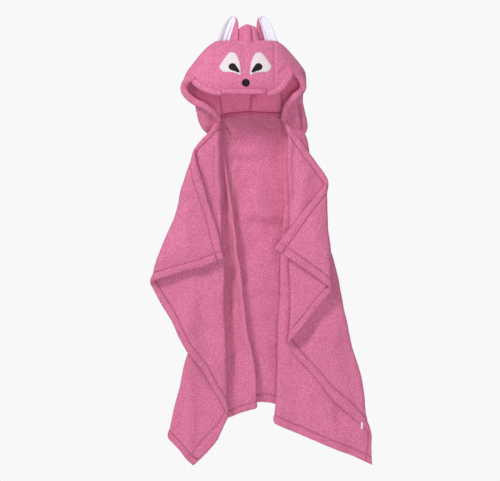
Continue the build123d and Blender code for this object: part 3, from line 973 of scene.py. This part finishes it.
# %% [markdown]
# The hem of the hood's mouth is a rolled band, the seams are narrow rolls, and the loop is a flat tape.
# All three are a flattened ring swept along a line. A curve with a bevel would do it too, but it can't change
# its width and thickness apart from each other on the way.

# %% A band along a line
def band_along(name, line, across_of, material, wide, thick, sides=12):
    """A flattened roll that follows a line; across_of gives the way its width lies."""
    n = len(line)
    ahead = np.gradient(line, axis=0)
    ahead /= np.linalg.norm(ahead, axis=1, keepdims=True)
    across = across_of - ahead * (across_of * ahead).sum(1, keepdims=True)
    across /= np.linalg.norm(across, axis=1, keepdims=True)
    up = np.cross(ahead, across)
    turn = np.linspace(0, 2 * np.pi, sides, endpoint=False)
    ring = []
    for a in turn:
        c, s = math.cos(a), math.sin(a)
        c = math.copysign(abs(c) ** 0.6, c)
        ring.append(line + across * (c * wide / 2.0) + up * (s * thick / 2.0))
    points = np.stack(ring, axis=1).reshape(-1, 3)
    faces = tube_faces(n, sides)
    faces.append(tuple(range(sides))[::-1])
    faces.append(tuple((n - 1) * sides + j for j in range(sides)))
    far = np.concatenate([[0], np.cumsum(np.linalg.norm(np.diff(line, axis=0), axis=1))])
    uv = np.stack([np.repeat(far, sides), np.tile(turn * 3.0, n)], axis=1) * MM
    return dress(make_object(name, points * MM, faces, uv), material)


def settle(line, times):
    """Evens out a line between its two ends."""
    for _ in range(times):
        line[1:-1] = (line[:-2] + line[1:-1] + line[2:]) / 3.0


bump = np.array([0.0, 3.0, 0.0])
settle(bump, 1)
print("a bump of 3 mm settles to", float(bump[1]))

# %% [markdown]
# The rolled edge stands a little outside the mouth's outline. It is a thin lip under the face
# and grows into fat rolls at the lobes, where the real hem bunches up.

# %% The rolled edge of the mouth
rim = mouth[(mouth[:, 1] > -232.0)]
start = int(np.argmax(np.hypot(*(rim - np.roll(rim, 1, 0)).T)))
rim = np.roll(rim, -start, 0)
tangent = np.gradient(rim, axis=0)
tangent /= np.linalg.norm(tangent, axis=1, keepdims=True)
outward = np.stack([tangent[:, 1], -tangent[:, 0]], axis=1)
mouth_middle = np.array([-5.0, -175.0])
outward *= np.sign(((rim - mouth_middle) * outward).sum(1, keepdims=True))
settle(outward, 12)
outward /= np.linalg.norm(outward, axis=1, keepdims=True)
upper = smooth_step(rim[:, 1], -175.0, -150.0)
seat = rim + outward * (2.6 + 3.0 * upper)[:, None]
line = hood_point(seat[:, 0], seat[:, 1], True, 2.6)
line[:, 1] -= 7.0 * (1.0 - upper) * smooth_step(rim[:, 1], -232.0, -205.0)
settle(line, 6)
sideways = np.stack([outward[:, 0], 0 * upper, outward[:, 1]], axis=1)
lobe = smooth_step(np.abs(rim[:, 0] + 8.0), 70.0, 105.0)
roll_wide, roll_thick = (13.5 + 4.5 * lobe)[:, None], (8.0 + 4.0 * lobe)[:, None]
hood_band = band_along("hood_hem_band", line, sideways, pink_terry, roll_wide, roll_thick)
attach(hood_band, "hood")
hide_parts("hood_hem")

# %% [markdown]
# Inside the hood three seams run down to the neck, where a tape binds the hood to the towel.
# A seam is a narrow roll laid along the inside of the back wall.

# %% Seams inside the hood
def seam(name, path, radius, material=pink_terry, out=-3.4):
    pts = np.array(path, float)
    t = np.linspace(0, 1, len(pts))
    even = np.linspace(0, 1, 60)
    x, z = np.interp(even, t, pts[:, 0]), np.interp(even, t, pts[:, 1])
    settle(x, 8)
    settle(z, 8)
    run = hood_point(x, z, False, out)
    sideways = np.broadcast_to(np.array([1.0, 0.2, 0.7]), run.shape)
    obj = band_along(name, run, sideways, material, radius * 2.2, radius * 2.0, sides=8)
    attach(obj, "hood")
    return obj


seam("hood_seam_left", [(-74, -120), (-72, -165), (-66, -190), (-63, -214)], 2.4)
seam("hood_seam_right", [(82, -110), (85, -160), (87, -190), (87, -209)], 2.4)
seam("hood_seam_middle", [(10, -120), (10, -165), (8, -190), (7.5, -207)], 2.0)
neck_path = [(-66, -221), (-56, -214), (-31, -210), (8, -207.5), (40, -209), (62, -210), (88, -211.5)]
neck_seam = seam("neck_seam_band", neck_path, 3.2, pink_tape, out=-6.0)
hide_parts("neck_tape")

# %% [markdown]
# The face is sewn on: white pile patches, black felt eyes and a black felt nose.
# A patch could be a flat shape pushed on to the hood by a Shrinkwrap modifier. Here its rings of points are
# put on the hood's wall straight away, and puffed up a little, as padded pile is.

# %% A patch sewn to the hood
def applique(name, outline, out, puff, material, rings=7, count=72):
    ring = closed_curve(on_the_bell(outline), count)
    centre = ring.mean(0)
    rows = [hood_point(ring[:, 0], ring[:, 1], True, out - 1.6)]
    for r in range(rings + 1):
        part = 1.0 - r / rings
        flat = centre + (ring - centre) * part
        if r == rings:
            flat = flat[:1]
        rows.append(hood_point(flat[:, 0], flat[:, 1], True, out + puff * (1.0 - part**6)))
    points = np.vstack(rows)
    faces = tube_faces(rings + 1, count)
    top = (rings + 1) * count
    for j in range(count):
        faces.append((rings * count + j, rings * count + (j + 1) % count, top))
    faces.append(tuple(range(count))[::-1])
    obj = dress(make_object(name, points * MM, faces, points[:, [0, 2]] * MM), material)
    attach(obj, "hood")
    return obj


def flipped(outline, middle=-5.0):
    """The same outline on the other side of the face."""
    return [(2 * middle - x, z) for x, z in outline][::-1]


print("a point 20 mm left of the middle turns over to", flipped([(-25.0, 0.0)])[0][0])

# %% [markdown]
# The patches slant up and outward and the eyes sit in their lower inner corners, which gives the sly look.
# The right side is the left one turned over, so the face stays even.

# %% The face
patch = [
    (-71, -96), (-66, -88), (-61, -80), (-51, -67), (-46, -61.5), (-39, -60),
    (-31, -62), (-24, -72), (-19, -86), (-16.5, -104), (-16, -114), (-16.5, -118.5),
    (-21, -117), (-33, -112.5), (-47, -111), (-60, -110.5), (-67, -105), (-70.5, -100),
]
eye = [
    (-47.5, -95), (-43.5, -90), (-38, -88), (-32, -89.5), (-27.5, -95), (-21.5, -104.5),
    (-19.5, -110.5), (-24, -111.8), (-31, -108.5), (-39.5, -106), (-46, -102),
]
nose_x, nose_z, nose_wide, nose_high = -4.5, -136.8, 10.4, 10.0
round_nose = np.linspace(0, 2 * math.pi, 12, endpoint=False)
nose = [(nose_x + nose_wide * math.cos(a), nose_z + nose_high * math.sin(a)) for a in round_nose]
for side, shape in (("left", patch), ("right", flipped(patch))):
    piece = applique("patch_" + side + "_pile", shape, 3.0, 1.6, white_pile)
    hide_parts("patch_" + side)
for side, shape in (("left", eye), ("right", flipped(eye))):
    piece = applique("eye_" + side + "_felt", shape, 5.4, 1.0, black_felt)
    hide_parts("eye_" + side)
piece = applique("nose_felt", nose, 2.6, 3.0, black_felt)
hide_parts("nose")

# %% [markdown]
# The top of the hood is gathered into soft lobes between the ears, where the loop pulls on it.
# It is a closed stack of rings that narrows upward. Creases cut into the rings deepen towards the top.

# %% The gathered crown
count, levels = 144, 30
turn = np.linspace(0, 2 * np.pi, count, endpoint=False)
# where round the crown, how wide, how deep
creases = ((0.46, 0.15, 0.34), (-0.85, 0.18, 0.30), (1.35, 0.2, 0.26), (-1.5, 0.2, 0.2), (3.1, 0.22, 0.3))
crown = []
for t in np.linspace(0, 1, levels):
    height = -66.0 + t * 74.0
    size_x = np.interp(t, [0, 0.25, 0.55, 0.85, 0.95, 1.0], [38, 33, 28, 24.5, 20, 10])
    size_y = np.interp(t, [0, 0.25, 0.55, 0.85, 0.95, 1.0], [24, 20, 17, 14, 11, 5])
    lobes = 1.0 + 0.07 * np.cos(4.0 * turn + 0.9)
    for at, spread, cut in creases:
        way = (turn - at + np.pi) % (2 * np.pi) - np.pi
        lobes -= cut * smooth_step(t, 0.0, 0.45) * np.exp(-((way / spread) ** 2))
    lean = 2.0 * math.sin(3.0 * t)
    ring_x = 1.0 + lean + size_x * lobes * np.sin(turn)
    ring_y = -44.0 - size_y * lobes * np.cos(turn)
    crown.append(np.stack([ring_x, ring_y, height + 1.5 * np.cos(2.0 * turn + 0.5) * t], axis=1))
points = np.vstack(crown + [[[1.0, -44.0, 9.0]], [[0.0, -44.0, -66.0]]])
faces = tube_faces(levels, count)
for i in range(count):
    k = (i + 1) % count
    faces.append(((levels - 1) * count + i, (levels - 1) * count + k, levels * count))
    faces.append((k, i, levels * count + 1))
crown_piece = make_object("crown_gather", points * MM, faces, points[:, [0, 2]] * MM)
crown_piece = dress(crown_piece, pink_terry)
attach(crown_piece, "hood")
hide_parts("hood_crown")

# %% [markdown]
# Each ear is a cupped triangle: terry behind, a smooth white lining in front.
# The inner edge curls forward, so some of the pink shows from the front.
# Tables give the ear's two edges, and the share of it that stays pink, from the seam up to the tip.

# %% The shape of an ear
ear_up = [0.0, 0.28, 0.46, 0.65, 0.836, 0.93, 0.97, 1.0]
ear_outer = [75.5, 69.5, 65.5, 60.0, 52.5, 46.5, 42.5, 36.8]
ear_inner = [23.5, 22.5, 22.0, 22.5, 24.0, 27.0, 30.0, 35.6]
ear_white = [0.42, 0.40, 0.36, 0.30, 0.20, 0.18, 0.18, 0.18]
ear_foot, ear_height, ear_depth = -36.0, 67.0, -41.0


def ear_point(side, up, s):
    inner, outer = np.interp(up, ear_up, ear_inner), np.interp(up, ear_up, ear_outer)
    x = inner + (outer - inner) * s
    curl = 1.0 - smooth_step(s, 0.10, 0.42)
    cup = 6.0 * (1.0 - up) * np.sin(np.pi * np.clip(s, 0.0, 1.0))
    y = ear_depth - 9.0 * curl * (1.0 - 0.6 * up) - 2.5 * smooth_step(s, 0.75, 1.0) + 4.0 * up + cup
    return np.stack([side * x, y, ear_foot + ear_height * up + 0 * x], axis=-1)


print("an ear is", ear_height, "mm high and", ear_outer[0] - ear_inner[0], "mm wide at its seam")

# %% [markdown]
# The lining is a second sheet in front of the terry, drawn in from its edges, with two soft folds
# that run up it. Both ride on the ear's own body, so that they flop together.

# %% The ears
def ear(side, name):
    up, s = np.meshgrid(np.linspace(0, 1, 40), np.linspace(0, 1, 40), indexing="ij")
    white = np.interp(up, ear_up, ear_white)
    lining_s = white + (0.985 - white) * s
    lining_up = 0.02 + 0.965 * up
    grid, face = ear_point(side, up, s), ear_point(side, lining_up, lining_s)
    inner_fold = np.exp(-(((s - 0.16 - 0.12 * (1.0 - up)) / 0.07) ** 2))
    outer_fold = 0.8 * np.exp(-(((s - 0.62) / 0.10) ** 2))
    face[..., 1] += 2.6 * (inner_fold + outer_fold) * smooth_step(-up, -1.0, -0.6)
    if side > 0:
        grid, face = grid[:, ::-1], face[:, ::-1]
    back_thick = 2.0 + 3.0 * smooth_step(1.0 - up, 0.0, 0.12)
    back_at, lining_at = grid + [0, 2.0, 0], face + [0, -1.4, 0]
    back = sheet_object(name + "_back_terry", back_at * MM, back_thick * MM, grid[..., [0, 2]] * MM)
    lining = sheet_object(name + "_lining_cloth", lining_at * MM, 2.6 * MM, face[..., [0, 2]] * MM)
    for obj, material in ((back, pink_terry), (lining, white_lining)):
        dress(obj, material)
        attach(obj, name)
    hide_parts(name + "_back")
    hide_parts(name + "_lining")


ear(-1.0, "ear_left")
ear(1.0, "ear_right")

# %% [markdown]
# The loop is a narrow woven tape sewn behind the crown; the whole towel hangs by it.
# A ribbon swept along a line keeps its width square to the hook, as the real tape does.

# %% The hanging loop
loop_half, loop_turn, loop_foot = 14.0, -13.0, -64.0
half_round = np.linspace(math.pi, 0.0, 24)
bow = [(loop_half * math.cos(a), loop_turn + loop_half * math.sin(a)) for a in half_round]
legs = np.linspace(loop_foot, loop_turn, 14)[:-1]
loop_line = [(-loop_half, z) for z in legs] + bow + [(loop_half, z) for z in legs[::-1]]
loop_line = np.array([(x, -11.0 - 2.5 * float(smooth_step(-z, 20.0, 64.0)), z) for x, z in loop_line])
tape_way = np.broadcast_to(np.array([0.0, 1.0, 0.0]), loop_line.shape)
loop = band_along("hanging_loop_tape", loop_line, tape_way, pink_tape, 10.0, 2.0, sides=8)
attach(loop, "hood")
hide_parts("hanging_loop")

# %% [markdown]
# The care label is a small blank tab of woven tape, held in the right side hem.
# It is stiff enough to need no bend, so it rides on its own body and swings as one.

# %% The blank label
tab_x, tab_z = np.meshgrid(np.linspace(283.5, 288.0, 7), np.linspace(-985.0, -1002.0, 15))
tab_y = -45.6 - 1.2 * smooth_step(-tab_z, 990.0, 1002.0) + 0.3 * np.sin(tab_x * 1.1)
tab = np.stack([tab_x, tab_y, tab_z], axis=2)
label = sheet_object("care_label_tab", tab * MM, 0.7 * MM, tab[..., [0, 2]] * MM)
label.data.materials.append(label_tape)
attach(label, "care_label")
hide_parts("care_label")
print("label:", round(float(np.ptp(tab_x)), 1), "by", round(float(np.ptp(tab_z)), 1), "mm")

# %% [markdown]
# The seams are terry like the hood, and the neck is bound with the same tape as the hanging loop.

# %% [markdown]
# The towel hangs in a plain pale studio. A round floor lies well below it, so that the view from any side
# shows the same calm ground, where a wall would hide the back.

# %% The floor
floor_material, _, _ = new_material("pale_floor", (0.92, 0.92, 0.92, 1.0), 0.9, 0.0)
floor_height, floor_radius, floor_sides = -1.5, 1.65, 96
edge = [2.0 * math.pi * k / floor_sides for k in range(floor_sides)]
rim_points = [(floor_radius * math.cos(a), floor_radius * math.sin(a), floor_height) for a in edge]
floor = make_object("pale_floor", rim_points, [tuple(range(floor_sides))])
floor.data.materials.append(floor_material)
print("floor", floor_height, "m down and", 2 * floor_radius, "m across")

# %% [markdown]
# One large lamp from the upper left shapes the folds, since its light falls across them.
# A weak one in front opens up the shade, and one behind lights the back when the towel is turned.

# %% The lamps
def area_light(name, place, aim, size, power):
    light = bpy.data.lights.new(name, "AREA")
    light.size = size
    light.energy = power
    obj = bpy.data.objects.new(name, light)
    bpy.context.scene.collection.objects.link(obj)
    obj.location = place
    way = np.array(aim) - np.array(place)
    obj.rotation_euler = Vector(way).to_track_quat("-Z", "Y").to_euler()
    return obj


# name, place, what it points at, size in metres, power in watts
lamps = [
    ("key_light", (-1.35, -1.7, 1.45), (0, 0, -0.4), 0.7, 58.0),
    ("fill_light", (0.4, -3.0, -0.9), (0, 0, -0.2), 1.2, 35.0),
    ("back_light", (1.2, 2.8, 1.2), (0, 0, -0.5), 1.6, 55.0),
]
for lamp in lamps:
    area_light(*lamp)
print("lamps:", [lamp[0] for lamp in lamps])

# %% [markdown]
# The surroundings look nearly white to the eye but light the cloth only gently. A Light Path node tells the
# two apart. The plain Standard view keeps the pink as strong as it was mixed.

# %% The surroundings
bpy.context.scene.view_settings.view_transform = "Standard"
world = bpy.data.worlds.new("room_light")
bpy.context.scene.world = world
world.use_nodes = True
room = world.node_tree
glow = room.nodes["Background"]
glow.inputs["Color"].default_value = (1.0, 1.0, 1.0, 1.0)
seen_glow, cast_glow = 0.94, 0.27
path = room.nodes.new("ShaderNodeLightPath")
level = room.nodes.new("ShaderNodeMapRange")
level.inputs["To Min"].default_value = cast_glow
level.inputs["To Max"].default_value = seen_glow
room.links.new(path.outputs["Is Camera Ray"], level.inputs["Value"])
room.links.new(level.outputs["Result"], glow.inputs["Strength"])
print("surroundings: seen at", seen_glow, "and cast at", cast_glow)

# %% [markdown]
# The camera looks straight at the towel from about three metres, level with its middle.
# A long lens keeps the shape free of strong perspective.

# %% The camera
lens, film, frame_width, towel_plane = 85.0, 36.0, 1.25, -0.045
camera_data = bpy.data.cameras.new("camera")
camera_data.lens = lens
camera_data.sensor_width = film
camera = bpy.data.objects.new("camera", camera_data)
bpy.context.scene.collection.objects.link(camera)
bpy.context.scene.camera = camera
camera.location = (0.00625, towel_plane - frame_width * lens / film, -0.531)
camera.rotation_euler = (math.radians(90.0), 0.0, 0.0)
print("camera", round(-camera.location.y, 2), "m in front of the wall")
